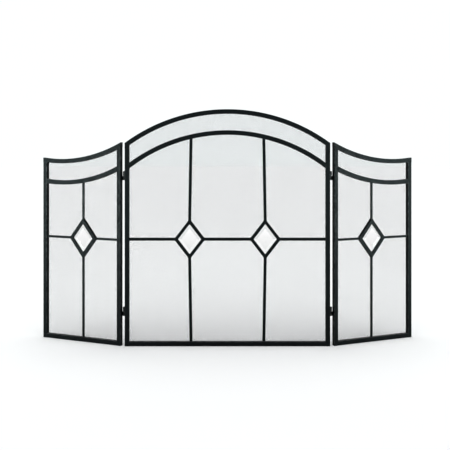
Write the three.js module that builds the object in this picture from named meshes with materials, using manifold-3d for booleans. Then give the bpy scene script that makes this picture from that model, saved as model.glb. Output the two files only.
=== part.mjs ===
// Three-panel folding fireplace screen.
//
// A wide centre panel with an arched top carries a narrower wing at each side. Every panel is a
// welded frame of square steel tube with flat bars, bevelled glass diamonds in bent-strip frames
// and a sheet of fine mesh across its back. Each wing turns on two lift-off barrel hinges, from
// a little forward of flat to folded flat behind the centre panel.
//
// Millimetres, +Z up. The front faces -Y, the floor is z = 0, and left is -X.

import * as THREE from 'three';
import { mergeVertices } from 'three/addons/utils/BufferGeometryUtils.js';
import Module from 'manifold-3d';

const wasm = await Module();
wasm.setup();

// ---- Driving dimensions ----------------------------------------------------------------------

const TUBE = 15; // outside of the square tube
const TUBE_WALL = 1.2;
const WELD_GAP = 0.3; // clearance left where two pieces are welded or rest on each other
const CUT_PAST = 1; // how far a bore runs past the end it opens

const CENTRE_WIDTH = 687; // 27 in
const WING_WIDTH = 312; // 12 1/4 in
const WING_REST_ANGLE = 22.5; // each wing stands this far back from flat, in degrees

// Top edges of the curved rails, as arcs: x and z of the centre, radius, and whether the arc
// bulges up (1) or sags (-1). Centre arcs are measured from the middle of the panel, wing arcs
// from the wing's hinge-side edge.
const OUTER_ARCH = { x: 0, z: 212, radius: 580, bulge: 1 };
const INNER_ARCH = { x: 0, z: 170.6, radius: 551, bulge: 1 };
const WING_UPPER_CURVE = { x: 240, z: 1156.6, radius: 532, bulge: -1 };
const WING_LOWER_CURVE = { x: 236, z: 1063, radius: 512, bulge: -1 };
const RAIL_STEPS = 32;

// Level bars stand at the height of the middle of their panel's diamonds.
const CENTRE_LEVEL = 357;
const WING_LEVEL = 354;
const BAR_DEPTH = 5; // the thin flat bars' thickness, from front to back
const CENTRE_BAR = 10; // their face width in the centre panel
const WING_BAR = 8; // and in the wings
const DIAMOND_X = 126.5; // the two centre diamonds stand this far each side of the middle
const BAR_LEAN = 4.6; // how much nearer the middle a centre upright bar stands at its rail
const WING_DIAMOND_ACROSS = 150.5; // a wing's diamond, from the wing's hinge-side edge

const GLASS_OPENING = { halfWidth: 39, halfHeight: 50.5 };
const DIAMOND_STRIP = 10.5; // face width of the bent strip
const DIAMOND_DEPTH = 12.4;
const GROOVE_DEPTH = 2.2; // how far the glass edge reaches into the strip
const GLASS_THICKNESS = 5;
const GLASS_EDGE = 2; // thickness left at the foot of the bevel
const GLASS_BEVEL = 9;

const MESH_THICKNESS = 0.3; // the sheet as a plain plate, about as heavy as the mesh
const MESH_INSET = 8; // from the frame's outer edge to the edge of the mesh
const MESH_LAP = 4; // how far the mesh lies over the back of a diamond's strip

const PLUG_HEIGHT = 12;

const HINGE_HEIGHTS = [113, 569]; // middle of the lower and upper hinges
const HINGE_HALF_GAP = 3.7; // from a post's side to the hinge axis
const HINGE_SETBACK = 3.5; // from the posts' back face to the hinge axis
const KNUCKLE_RADIUS = 4.5;
const KNUCKLE_HEIGHT = 14.5;
const KNUCKLE_GAP = 0.6; // between the two knuckles of a hinge
const KNUCKLE_BORE = 2.25;
const PIN_RADIUS = 2.15;
const PIN_STANDS_PROUD = 1.4; // the pin's domed tip above the upper knuckle
const LEAF_REACH = 6.2; // how far a knuckle's leaf lies over the post
const LEAF_THICKNESS = 2.2;
const ROUND_STEPS = 24;

const HALF_CENTRE = CENTRE_WIDTH / 2;
const HINGE_X = HALF_CENTRE + HINGE_HALF_GAP;
const HINGE_Y = TUBE + HINGE_SETBACK;
const REST_ANGLE = THREE.MathUtils.degToRad(WING_REST_ANGLE);
const SCREEN_DEPTH = HINGE_Y + (HINGE_HALF_GAP + WING_WIDTH) * Math.sin(REST_ANGLE)
  - HINGE_SETBACK * Math.cos(REST_ANGLE);

// ---- Materials -------------------------------------------------------------------------------

function powderCoat() {
  return new THREE.MeshStandardMaterial({ color: 0x17191a, roughness: 0.42, metalness: 0.3 });
}

function meshMetal() {
  return new THREE.MeshStandardMaterial({ color: 0x1d2021, roughness: 0.55, metalness: 0.5 });
}

function clearGlass() {
  return new THREE.MeshStandardMaterial({
    color: 0xf2f6f6, roughness: 0.04, metalness: 0, transparent: true, opacity: 0.4,
  });
}

function blackPlastic() {
  return new THREE.MeshStandardMaterial({ color: 0x0e0f10, roughness: 0.7, metalness: 0 });
}

function pinSteel() {
  return new THREE.MeshStandardMaterial({ color: 0x3a3c3d, roughness: 0.35, metalness: 0.8 });
}

// ---- Solids ----------------------------------------------------------------------------------

function toManifold(geometry) {
  const bare = geometry.clone();
  bare.deleteAttribute('normal');
  bare.deleteAttribute('uv');
  const merged = mergeVertices(bare);
  return new wasm.Manifold(new wasm.Mesh({
    numProp: 3,
    vertProperties: new Float32Array(merged.attributes.position.array),
    triVerts: new Uint32Array(merged.index.array),
  }));
}

function toGeometry(manifold) {
  const mesh = manifold.getMesh();
  const geometry = new THREE.BufferGeometry();
  geometry.setAttribute('position', new THREE.BufferAttribute(mesh.vertProperties, mesh.numProp));
  geometry.setIndex(new THREE.BufferAttribute(mesh.triVerts, 1));
  geometry.computeVertexNormals();
  return geometry;
}

function cut(body, tool) {
  return toGeometry(toManifold(body).subtract(toManifold(tool)));
}

// A front-view outline of [x, z] points, extruded from y = front to y = front + depth.
function upright(outline, front, depth) {
  const shape = new THREE.Shape(outline.map(([x, z]) => new THREE.Vector2(x, z)));
  const geometry = new THREE.ExtrudeGeometry(shape, { depth, bevelEnabled: false });
  geometry.rotateX(Math.PI / 2);
  geometry.translate(0, front + depth, 0);
  return geometry;
}

function boxBetween([x0, y0, z0], [x1, y1, z1]) {
  const geometry = new THREE.BoxGeometry(Math.abs(x1 - x0), Math.abs(y1 - y0), Math.abs(z1 - z0));
  geometry.translate((x0 + x1) / 2, (y0 + y1) / 2, (z0 + z1) / 2);
  return geometry;
}

function addPiece(group, name, geometry, material) {
  const mesh = new THREE.Mesh(geometry, material);
  mesh.name = name;
  group.add(mesh);
  return mesh;
}

// ---- Curves ----------------------------------------------------------------------------------

function heightOn(curve, x) {
  return curve.z + curve.bulge * Math.sqrt(curve.radius ** 2 - (x - curve.x) ** 2);
}

// The concentric arc that lies `distance` below a curve, measured square to it.
function below(curve, distance) {
  return { ...curve, radius: curve.radius - curve.bulge * distance };
}

function pointsAlong(curve, from, to) {
  const points = [];
  for (let step = 0; step <= RAIL_STEPS; step += 1) {
    const x = from + (to - from) * step / RAIL_STEPS;
    points.push([x, heightOn(curve, x)]);
  }
  return points;
}

// The band between two concentric arcs, as a closed outline.
function bandOutline(upper, lower, from, to) {
  return [...pointsAlong(upper, from, to), ...pointsAlong(lower, to, from)];
}

// ---- Panel pieces ----------------------------------------------------------------------------
// Every outline here is given in a panel's own [across, up] coordinates. `place` turns a point of
// it into the panel's x and z, which mirrors the left wing.

function curvedRail(curve, from, to, place) {
  const outer = bandOutline(curve, below(curve, TUBE), from, to);
  const bore = bandOutline(
    below(curve, TUBE_WALL),
    below(curve, TUBE - TUBE_WALL),
    from - CUT_PAST,
    to + CUT_PAST,
  );
  return cut(
    upright(outer.map(place), 0, TUBE),
    upright(bore.map(place), TUBE_WALL, TUBE - 2 * TUBE_WALL),
  );
}

// A post of square tube whose slanted top fits under a curved rail.
function post(curve, from, place) {
  const to = from + TUBE;
  const seat = below(curve, TUBE + WELD_GAP);
  const tops = [heightOn(seat, from), heightOn(seat, to)];
  const outer = [[from, 0], [to, 0], [to, tops[1]], [from, tops[0]]];
  const boreTop = Math.max(...tops) + CUT_PAST;
  const bore = [
    [from + TUBE_WALL, -CUT_PAST],
    [to - TUBE_WALL, -CUT_PAST],
    [to - TUBE_WALL, boreTop],
    [from + TUBE_WALL, boreTop],
  ];
  return cut(
    upright(outer.map(place), 0, TUBE),
    upright(bore.map(place), TUBE_WALL, TUBE - 2 * TUBE_WALL),
  );
}

function bottomRail(from, to, place) {
  const outer = [[from, 0], [to, 0], [to, TUBE], [from, TUBE]];
  const bore = [
    [from - CUT_PAST, TUBE_WALL],
    [to + CUT_PAST, TUBE_WALL],
    [to + CUT_PAST, TUBE - TUBE_WALL],
    [from - CUT_PAST, TUBE - TUBE_WALL],
  ];
  return cut(
    upright(outer.map(place), 0, TUBE),
    upright(bore.map(place), TUBE_WALL, TUBE - 2 * TUBE_WALL),
  );
}

function footPlug(from, place) {
  const low = from + TUBE_WALL + WELD_GAP;
  const high = from + TUBE - TUBE_WALL - WELD_GAP;
  const [x0] = place([low, 0]);
  const [x1] = place([high, 0]);
  const y0 = TUBE_WALL + WELD_GAP;
  return boxBetween([x0, y0, 0], [x1, TUBE - y0, PLUG_HEIGHT]);
}

// ---- Diamonds --------------------------------------------------------------------------------
// Every outline of a diamond is the same rhombus at a different distance from its middle to its
// sides, so a four-sided turned profile stretched to the rhombus's proportions makes them all.

const RHOMBUS_SIDE = Math.hypot(GLASS_OPENING.halfWidth, GLASS_OPENING.halfHeight);
const WIDTH_PER_DISTANCE = RHOMBUS_SIDE / GLASS_OPENING.halfHeight;
const HEIGHT_PER_DISTANCE = RHOMBUS_SIDE / GLASS_OPENING.halfWidth;
const OPENING_DISTANCE = GLASS_OPENING.halfWidth / WIDTH_PER_DISTANCE;
const STRIP_DISTANCE = OPENING_DISTANCE + DIAMOND_STRIP;
const DIAMOND_HALF_WIDTH = STRIP_DISTANCE * WIDTH_PER_DISTANCE;
const DIAMOND_HALF_HEIGHT = STRIP_DISTANCE * HEIGHT_PER_DISTANCE;

// `profile` holds [distance from the middle to the side, y from the middle of the tube], and
// `centre` the x and z of the diamond's middle.
function rhombic(profile, [x, z]) {
  const points = profile.map(([distance, y]) => new THREE.Vector2(distance, y));
  const geometry = new THREE.LatheGeometry(points, 4);
  geometry.scale(WIDTH_PER_DISTANCE, 1, HEIGHT_PER_DISTANCE);
  geometry.translate(x, TUBE / 2, z);
  return geometry;
}

function diamondFrame(centre) {
  const half = DIAMOND_DEPTH / 2;
  const groove = GLASS_EDGE / 2 + WELD_GAP;
  const floor = OPENING_DISTANCE + GROOVE_DEPTH;
  return rhombic([
    [OPENING_DISTANCE, -half],
    [STRIP_DISTANCE, -half],
    [STRIP_DISTANCE, half],
    [OPENING_DISTANCE, half],
    [OPENING_DISTANCE, groove],
    [floor, groove],
    [floor, -groove],
    [OPENING_DISTANCE, -groove],
    [OPENING_DISTANCE, -half],
  ], centre);
}

function glassDiamond(centre) {
  const rim = OPENING_DISTANCE + GROOVE_DEPTH - WELD_GAP;
  const back = GLASS_EDGE / 2;
  const front = back - GLASS_THICKNESS;
  return rhombic([
    [0, front],
    [OPENING_DISTANCE - GLASS_BEVEL, front],
    [OPENING_DISTANCE - WELD_GAP, -back],
    [rim, -back],
    [rim, back],
    [0, back],
  ], centre);
}

// ---- Thin bars -------------------------------------------------------------------------------

// An upright bar from the floor rail, at railX, to the lower point of the diamond round [x, z].
// It is cut to the point's two sides.
function barBelowDiamond([x, z], railX, width, place) {
  const slope = HEIGHT_PER_DISTANCE / WIDTH_PER_DISTANCE;
  const tip = z - DIAMOND_HALF_HEIGHT - WELD_GAP;
  const side = tip + slope * width / 2;
  const outline = [
    [railX - width / 2, TUBE + WELD_GAP],
    [railX + width / 2, TUBE + WELD_GAP],
    [x + width / 2, side],
    [x, tip],
    [x - width / 2, side],
  ];
  return upright(outline.map(place), (TUBE - BAR_DEPTH) / 2, BAR_DEPTH);
}

// An upright bar from the diamond's upper point to the underside of a curved rail, at railX.
function barAboveDiamond([x, z], railX, width, curve, place) {
  const slope = HEIGHT_PER_DISTANCE / WIDTH_PER_DISTANCE;
  const tip = z + DIAMOND_HALF_HEIGHT + WELD_GAP;
  const side = tip - slope * width / 2;
  const seat = below(curve, TUBE + WELD_GAP);
  const outline = [
    [x - width / 2, side],
    [x, tip],
    [x + width / 2, side],
    [railX + width / 2, heightOn(seat, railX + width / 2)],
    [railX - width / 2, heightOn(seat, railX - width / 2)],
  ];
  return upright(outline.map(place), (TUBE - BAR_DEPTH) / 2, BAR_DEPTH);
}

// One end of a level bar, from its lower to its upper corner: square against a post, or notched
// over the side point of a diamond, whose sides fall back towards `outward` from the point.
function levelBarEnd({ at, meetsDiamond }, outward, level, half) {
  const low = level - half;
  const high = level + half;
  if (!meetsDiamond) {
    return [[at, low], [at, high]];
  }
  const corner = at + outward * half * WIDTH_PER_DISTANCE / HEIGHT_PER_DISTANCE;
  return [[corner, low], [at, level], [corner, high]];
}

function levelBar(from, to, level, width, place) {
  const outline = [
    ...levelBarEnd(from, -1, level, width / 2),
    ...levelBarEnd(to, 1, level, width / 2).reverse(),
  ];
  return upright(outline.map(place), (TUBE - BAR_DEPTH) / 2, BAR_DEPTH);
}

// Where a level bar meets the near side of a post, or a side point of the diamond at x.
function atPost(x, direction) {
  return { at: x + direction * WELD_GAP, meetsDiamond: false };
}

function atDiamond(x, direction) {
  return { at: x + direction * (DIAMOND_HALF_WIDTH + WELD_GAP), meetsDiamond: true };
}

// ---- Mesh sheet ------------------------------------------------------------------------------

// The sheet lies on the back of the frame and is cut out behind each glass diamond. `diamonds`
// holds the middle of each.
function meshSheet(curve, from, to, place, diamonds) {
  const outline = [
    [from + MESH_INSET, MESH_INSET],
    ...pointsAlong(below(curve, MESH_INSET), from + MESH_INSET, to - MESH_INSET),
    [to - MESH_INSET, MESH_INSET],
  ];
  let sheet = upright(outline.map(place), TUBE + WELD_GAP, MESH_THICKNESS);
  const edge = STRIP_DISTANCE - MESH_LAP;
  for (const centre of diamonds) {
    const window = rhombic([[0, -TUBE], [edge, -TUBE], [edge, TUBE], [0, TUBE]], centre);
    sheet = cut(sheet, window);
  }
  return sheet;
}

// ---- Hinges ----------------------------------------------------------------------------------
// Each hinge is built about its own upright axis, with z = 0 at the middle of the hinge.

function cylinderAlongZ(radius, height) {
  const geometry = new THREE.CylinderGeometry(radius, radius, height, ROUND_STEPS);
  geometry.rotateX(Math.PI / 2);
  return geometry;
}

// A barrel with a leaf that reaches over the back of the post on its `side` of the axis.
function knuckle(side, lift) {
  const leafFront = WELD_GAP - HINGE_SETBACK;
  const leaf = boxBetween(
    [0, leafFront, -KNUCKLE_HEIGHT / 2],
    [side * (HINGE_HALF_GAP + LEAF_REACH), leafFront + LEAF_THICKNESS, KNUCKLE_HEIGHT / 2],
  );
  const barrel = cylinderAlongZ(KNUCKLE_RADIUS, KNUCKLE_HEIGHT);
  const bore = cylinderAlongZ(KNUCKLE_BORE, KNUCKLE_HEIGHT + 2 * CUT_PAST);
  const solid = toManifold(barrel).add(toManifold(leaf)).subtract(toManifold(bore));
  const geometry = toGeometry(solid);
  geometry.translate(0, 0, lift);
  return geometry;
}

function hingePin() {
  const foot = -KNUCKLE_HEIGHT - KNUCKLE_GAP / 2;
  const shoulder = -foot + PIN_STANDS_PROUD / 2;
  const tip = -foot + PIN_STANDS_PROUD;
  const profile = [
    new THREE.Vector2(0, foot),
    new THREE.Vector2(PIN_RADIUS, foot),
    new THREE.Vector2(PIN_RADIUS, shoulder),
    new THREE.Vector2(PIN_RADIUS * Math.SQRT1_2, tip),
    new THREE.Vector2(0, tip),
  ];
  const geometry = new THREE.LatheGeometry(profile, ROUND_STEPS);
  geometry.rotateX(Math.PI / 2);
  return geometry;
}

// ---- Panels ----------------------------------------------------------------------------------

function buildCentrePanel() {
  const panel = new THREE.Group();
  const asIs = (point) => point;
  const inside = HALF_CENTRE - TUBE;
  const railEnd = inside - WELD_GAP;
  const outerArch = curvedRail(OUTER_ARCH, -HALF_CENTRE, HALF_CENTRE, asIs);
  addPiece(panel, 'centre_outer_arch_rail', outerArch, powderCoat());
  const innerArch = curvedRail(INNER_ARCH, -railEnd, railEnd, asIs);
  addPiece(panel, 'centre_inner_arch_rail', innerArch, powderCoat());
  addPiece(panel, 'centre_bottom_rail', bottomRail(-railEnd, railEnd, asIs), powderCoat());
  const diamonds = [[-DIAMOND_X, CENTRE_LEVEL], [DIAMOND_X, CENTRE_LEVEL]];
  const sheet = meshSheet(OUTER_ARCH, -HALF_CENTRE, HALF_CENTRE, asIs, diamonds);
  addPiece(panel, 'centre_mesh', sheet, meshMetal());
  for (const [hand, side] of [['left', -1], ['right', 1]]) {
    const postStart = side < 0 ? -HALF_CENTRE : inside;
    const x = side * DIAMOND_X;
    const railX = side * (DIAMOND_X - BAR_LEAN);
    const centre = [x, CENTRE_LEVEL];
    const ends = side < 0
      ? [atPost(-inside, 1), atDiamond(x, -1)]
      : [atDiamond(x, 1), atPost(inside, -1)];
    const name = `centre_${hand}`;
    addPiece(panel, `${name}_post`, post(OUTER_ARCH, postStart, asIs), powderCoat());
    addPiece(panel, `${name}_foot_plug`, footPlug(postStart, asIs), blackPlastic());
    const lowerBar = barBelowDiamond(centre, railX, CENTRE_BAR, asIs);
    addPiece(panel, `${name}_lower_bar`, lowerBar, powderCoat());
    const upperBar = barAboveDiamond(centre, railX, CENTRE_BAR, INNER_ARCH, asIs);
    addPiece(panel, `${name}_upper_bar`, upperBar, powderCoat());
    const levelPiece = levelBar(...ends, CENTRE_LEVEL, CENTRE_BAR, asIs);
    addPiece(panel, `${name}_level_bar`, levelPiece, powderCoat());
    addPiece(panel, `${name}_diamond_frame`, diamondFrame(centre), powderCoat());
    addPiece(panel, `${name}_glass_diamond`, glassDiamond(centre), clearGlass());
  }
  const middleEnds = [atDiamond(-DIAMOND_X, 1), atDiamond(DIAMOND_X, -1)];
  const middleBar = levelBar(...middleEnds, CENTRE_LEVEL, CENTRE_BAR, asIs);
  addPiece(panel, 'centre_middle_level_bar', middleBar, powderCoat());
  return panel;
}

// A wing is built about its hinge axis: across is measured from its hinge-side edge outwards.
function buildWing(hand, side) {
  const panel = new THREE.Group();
  const place = ([across, up]) => [side * (HINGE_HALF_GAP + across), up];
  const outside = WING_WIDTH - TUBE;
  const railStart = TUBE + WELD_GAP;
  const railEnd = outside - WELD_GAP;
  const across = WING_DIAMOND_ACROSS;
  const centre = place([across, WING_LEVEL]);
  const name = `${hand}_wing`;
  const upperRail = curvedRail(WING_UPPER_CURVE, 0, WING_WIDTH, place);
  addPiece(panel, `${name}_upper_rail`, upperRail, powderCoat());
  const lowerRail = curvedRail(WING_LOWER_CURVE, railStart, railEnd, place);
  addPiece(panel, `${name}_lower_rail`, lowerRail, powderCoat());
  addPiece(panel, `${name}_bottom_rail`, bottomRail(railStart, railEnd, place), powderCoat());
  const sheet = meshSheet(WING_UPPER_CURVE, 0, WING_WIDTH, place, [centre]);
  addPiece(panel, `${name}_mesh`, sheet, meshMetal());
  for (const [end, start] of [['inner', 0], ['outer', outside]]) {
    addPiece(panel, `${name}_${end}_post`, post(WING_UPPER_CURVE, start, place), powderCoat());
    addPiece(panel, `${name}_${end}_foot_plug`, footPlug(start, place), blackPlastic());
  }
  const innerBar = levelBar(
    atPost(TUBE, 1), atDiamond(across, -1), WING_LEVEL, WING_BAR, place,
  );
  addPiece(panel, `${name}_inner_level_bar`, innerBar, powderCoat());
  const outerBar = levelBar(
    atDiamond(across, 1), atPost(outside, -1), WING_LEVEL, WING_BAR, place,
  );
  addPiece(panel, `${name}_outer_level_bar`, outerBar, powderCoat());
  const lowerBar = barBelowDiamond([across, WING_LEVEL], across, WING_BAR, place);
  addPiece(panel, `${name}_lower_bar`, lowerBar, powderCoat());
  const upperBar = barAboveDiamond(
    [across, WING_LEVEL], across, WING_BAR, WING_LOWER_CURVE, place,
  );
  addPiece(panel, `${name}_upper_bar`, upperBar, powderCoat());
  addPiece(panel, `${name}_diamond_frame`, diamondFrame(centre), powderCoat());
  addPiece(panel, `${name}_glass_diamond`, glassDiamond(centre), clearGlass());
  panel.position.y = -HINGE_Y;
  return panel;
}

// ---- The screen ------------------------------------------------------------------------------

const screen = new THREE.Group();
screen.add(buildCentrePanel());

const knuckleLift = (KNUCKLE_HEIGHT + KNUCKLE_GAP) / 2;
for (const [hand, side] of [['left', -1], ['right', 1]]) {
  const wing = new THREE.Group();
  wing.position.set(side * HINGE_X, HINGE_Y, 0);
  wing.rotation.z = side * REST_ANGLE;
  wing.add(buildWing(hand, side));
  screen.add(wing);
  HINGE_HEIGHTS.forEach((height, level) => {
    const name = `${hand}_${['lower', 'upper'][level]}_hinge`;
    const fixedHalf = knuckle(-side, knuckleLift);
    const centreKnuckle = addPiece(screen, `${name}_centre_knuckle`, fixedHalf, powderCoat());
    centreKnuckle.position.set(side * HINGE_X, HINGE_Y, height);
    const movingHalf = knuckle(side, -knuckleLift);
    const wingKnuckle = addPiece(wing, `${name}_wing_knuckle`, movingHalf, powderCoat());
    wingKnuckle.position.z = height;
    addPiece(wing, `${name}_pin`, hingePin(), pinSteel()).position.z = height;
  });
}

// The origin lies on the floor under the middle of the whole screen's box.
screen.position.y = -SCREEN_DEPTH / 2;

export default screen;
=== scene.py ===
"""Looks of a three-panel folding fireplace screen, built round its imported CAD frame.

Every piece stands for one CAD node and takes its sizes from that node. A piece is drawn in its
own panel's axes, as (across, back, up) in metres, and then placed in the frame.
"""

import math
import random
from collections import namedtuple

import bmesh
import bpy
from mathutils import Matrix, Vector


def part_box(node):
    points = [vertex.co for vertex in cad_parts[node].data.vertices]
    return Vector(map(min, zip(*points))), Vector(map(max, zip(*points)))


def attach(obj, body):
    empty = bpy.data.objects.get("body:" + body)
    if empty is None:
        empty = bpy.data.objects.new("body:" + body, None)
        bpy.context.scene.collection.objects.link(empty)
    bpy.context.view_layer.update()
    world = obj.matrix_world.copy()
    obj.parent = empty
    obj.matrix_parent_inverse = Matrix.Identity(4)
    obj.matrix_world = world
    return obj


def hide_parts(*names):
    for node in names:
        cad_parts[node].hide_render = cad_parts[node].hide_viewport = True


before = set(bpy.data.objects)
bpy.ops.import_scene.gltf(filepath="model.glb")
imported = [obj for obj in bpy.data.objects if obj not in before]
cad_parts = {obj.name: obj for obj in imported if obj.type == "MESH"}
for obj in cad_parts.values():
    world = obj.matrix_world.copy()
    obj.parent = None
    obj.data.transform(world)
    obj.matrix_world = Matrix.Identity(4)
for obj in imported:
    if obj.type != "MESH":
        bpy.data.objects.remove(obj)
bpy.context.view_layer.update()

MM = 0.001
UP = Vector((0, 0, 1))
DIAMOND_CORNERS = ((1, 0), (0, 1), (-1, 0), (0, -1))
SAME_PLACE = 0.01 * MM  # points of a CAD node this close are on one line or face
PARALLEL = 1e-12  # a smaller cross product than this is taken as none

# ---- Sizes that only the looks have ----------------------------------------------------------

CORNER_STEPS = 4  # facets in a quarter-round corner
TUBE_CORNER = 1.8 * MM
TUBE_WALL = 1.2 * MM
CUT_EDGE = 0.5 * MM  # rounding of a sawn end
TUBE_BORE_SEEN = 16 * MM  # depth of the open foot that the plug sits in
BAR_CORNER = 1.1 * MM
STRIP_CORNER = 1.0 * MM
STRIP_BEND = 0.16  # bend at a diamond's corner, as a share of the distance to its bore
STRIP_LEAST_BEND = 0.3 * MM
GROOVE_DEPTH = 2.2 * MM  # holds the edge of the glass
GROOVE_PLAY = 0.25 * MM  # between the glass and either side of the groove
ROOT_GAP = 0.5 * MM  # how far a welded end runs on to reach its neighbour
DIAMOND_ROOT_GAP = 1.6 * MM
CURVE_STATIONS = 72
SHARP_ANGLE = 38  # edges that turn by more degrees than this stay sharp

BEAD_RADIUS = 1.3 * MM
FLUSH_BEAD_RADIUS = 0.9 * MM
FLUSH_BEAD_SUNK = 0.5 * MM
BEAD_LIFT = 0.9 * MM  # raises a bottom rail's beads clear of the floor
BEAD_SIDES = 8
BEAD_RIPPLE = 0.14
BEAD_RIPPLE_PITCH = 2.2 * MM
BEAD_FLAT_STEPS = 10
LEAF_BEAD_TAPER = 0.06  # share of a leaf's bead that its rounded end leaves out
LEAF_BEAD_BLUNTNESS = 0.4

WIRE_RADIUS = 0.156 * MM
WIRE_WANDER = 0.12  # how far a wire strays, as a share of the spacing
WIRE_SIDES = 6
CELL_WIDTH = 5.07 * MM  # one diamond opening of the mesh
CELL_HEIGHT = 3.4 * MM
HEM_THICKNESS = 1.2 * MM
HEM_WIDTH = 4.6 * MM
HEM_OFF_FRAME = 0.05 * MM
HEM_EDGE = 0.25 * MM
WINDOW_HEM_WIDTH = 3.4 * MM
SPOT_PITCH = 47 * MM
SPOT_STATIONS = 6  # stations of a curve between two corners of the line of spots
SPOT_RADIUS = 1.5 * MM
SPOT_HEIGHT = 0.28 * MM
SPOT_SIDES = 10
SPOT_PROFILE = ((1, -0.4), (1, 0), (0.8, 0.7), (0.35, 1))  # shares of its radius and height

GLASS_RIM = 2 * MM  # thickness left at the foot of the bevel
GLASS_CLEARANCE = 0.3 * MM
GLASS_EDGE_BREAK = 0.12 * MM
GLASS_BREAK_ANGLE = 10  # degrees, less than the bevels turn by
PLUG_EDGE = 0.6 * MM
PLUG_CORNER = 0.9 * MM
PLUG_DISH = 3.2 * MM
KNUCKLE_EDGE = 0.5 * MM
KNUCKLE_SIDES = 48
PIN_CLEARANCE = 0.1 * MM
PIN_DOME = 0.55  # height of the pin's tip, as a share of its radius
PIN_DOME_STEPS = 6
PIN_CHAMFER = 0.15

# How much of the coat has worn off, from 0 to 1, where it isn't given by a section's corners.
BEAD_WEAR = 0.35
HEM_WEAR = 0.2
SPOT_WEAR = 0.6
KNUCKLE_WEAR = 0.5

# ---- Panels ----------------------------------------------------------------------------------


class Axes:
    """A panel's own axes: across it, back from its front face, and up from the floor."""

    def __init__(self, origin, across, body):
        self.origin = Vector((origin.x, origin.y, 0))
        self.across = across
        self.back = Vector((-across.y, across.x, 0))
        if self.back.y < 0:
            self.back.negate()
        self.body = body

    def place(self, point):
        across, back, up = point
        return self.origin + self.across * across + self.back * back + UP * up

    def local(self, point):
        offset = Vector(point) - self.origin
        return Vector((offset.dot(self.across), offset.dot(self.back), offset.z))

    def points(self, node):
        return [self.local(vertex.co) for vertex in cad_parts[node].data.vertices]

    def span(self, node):
        """Lowest and highest corner of a CAD node, in these axes."""
        columns = list(zip(*self.points(node)))
        return Vector(map(min, columns)), Vector(map(max, columns))


def middle(node):
    low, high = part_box(node)
    return (low + high) / 2


def panel_axes(body, first_post, last_post):
    """Axes from the outer front corner of a panel's first post."""
    run = middle(last_post) - middle(first_post)
    across = Vector((run.x, run.y, 0)).normalized()
    axes = Axes(middle(first_post), across, body)
    corner = axes.span(first_post)[0]
    return Axes(axes.place(corner), across, body)


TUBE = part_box("centre_left_post")[1].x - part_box("centre_left_post")[0].x

# ---- Arcs ------------------------------------------------------------------------------------


class Arc:
    """The top edge of a curved rail, seen from the front."""

    def __init__(self, x, z, radius, bulge):
        self.x = x
        self.z = z
        self.radius = radius
        self.bulge = bulge

    def height(self, x):
        return self.z + self.bulge * math.sqrt(self.radius**2 - (x - self.x) ** 2)

    def below(self, distance):
        return Arc(self.x, self.z, self.radius - self.bulge * distance, self.bulge)


def rail_arc(axes, node):
    """The arc through both ends and the middle of a curved rail's top edge."""
    front = axes.span(node)[0].y
    tops = {}
    for point in axes.points(node):
        if abs(point.y - front) < SAME_PLACE:
            station = round(point.x / (0.1 * MM))
            tops[station] = max(tops.get(station, point), point, key=lambda p: p.z)
    edge = [tops[station] for station in sorted(tops)]
    start, crown, end = edge[0], edge[len(edge) // 2], edge[-1]
    chords = [(crown.x - start.x, crown.z - start.z), (end.x - start.x, end.z - start.z)]
    squares = [dx * dx + dz * dz for dx, dz in chords]
    (ax, az), (bx, bz) = chords
    twice_area = 2 * (ax * bz - az * bx)
    from_x = (bz * squares[0] - az * squares[1]) / twice_area
    from_z = (ax * squares[1] - bx * squares[0]) / twice_area
    bulge = 1 if start.z + from_z < crown.z else -1
    return Arc(start.x + from_x, start.z + from_z, math.hypot(from_x, from_z), bulge)


# ---- Sections --------------------------------------------------------------------------------

# A point of a section: where it is, which way is out, and how much its coat has worn.
Rim = namedtuple("Rim", "u v out_u out_v wear")


def corner(centre_u, centre_v, radius, quarter):
    """One quarter-round corner, worn most at its middle."""
    rims = []
    for step in range(CORNER_STEPS + 1):
        share = step / CORNER_STEPS
        angle = (quarter + share) * math.pi / 2
        out_u, out_v = math.cos(angle), math.sin(angle)
        wear = math.sin(math.pi * share)
        rims.append(Rim(centre_u + radius * out_u, centre_v + radius * out_v, out_u, out_v, wear))
    return rims


def rounded_section(width, depth, radius, flat_steps=1):
    """A rounded rectangle, with its flats cut into that many steps."""
    across, along = width / 2 - radius, depth / 2 - radius
    centres = [(across, along), (-across, along), (-across, -along), (across, -along)]
    corners = [corner(u, v, radius, quarter) for quarter, (u, v) in enumerate(centres)]
    section = []
    for rims, following in zip(corners, corners[1:] + corners[:1]):
        section += rims
        end, start = rims[-1], following[0]
        for step in range(1, flat_steps):
            share = step / flat_steps
            u = end.u + (start.u - end.u) * share
            v = end.v + (start.v - end.v) * share
            section.append(Rim(u, v, end.out_u, end.out_v, 0))
    return section


def ring(section, inset, to_point):
    """The section moved in by `inset` all round, as points in the panel's axes."""
    return [to_point(rim.u - inset * rim.out_u, rim.v - inset * rim.out_v) for rim in section]


# ---- Shapes and pieces -----------------------------------------------------------------------


def new_shape():
    shape = bmesh.new()
    shape.verts.layers.float.new("wear")
    return shape


def loft(shape, rings, wear, closed=False):
    """Skins rings that hold the same number of points, and caps both ends or joins them up."""
    layer = shape.verts.layers.float["wear"]
    made = []
    for points in rings:
        verts = [shape.verts.new(point) for point in points]
        for vert, value in zip(verts, wear):
            vert[layer] = value
        made.append(verts)
    pairs = list(zip(made, made[1:]))
    if closed:
        pairs.append((made[-1], made[0]))
    for near, far in pairs:
        for index in range(len(near)):
            after = (index + 1) % len(near)
            shape.faces.new((near[index], near[after], far[after], far[index]))
    if not closed:
        shape.faces.new(list(reversed(made[0])))
        shape.faces.new(made[-1])
    return made


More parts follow.
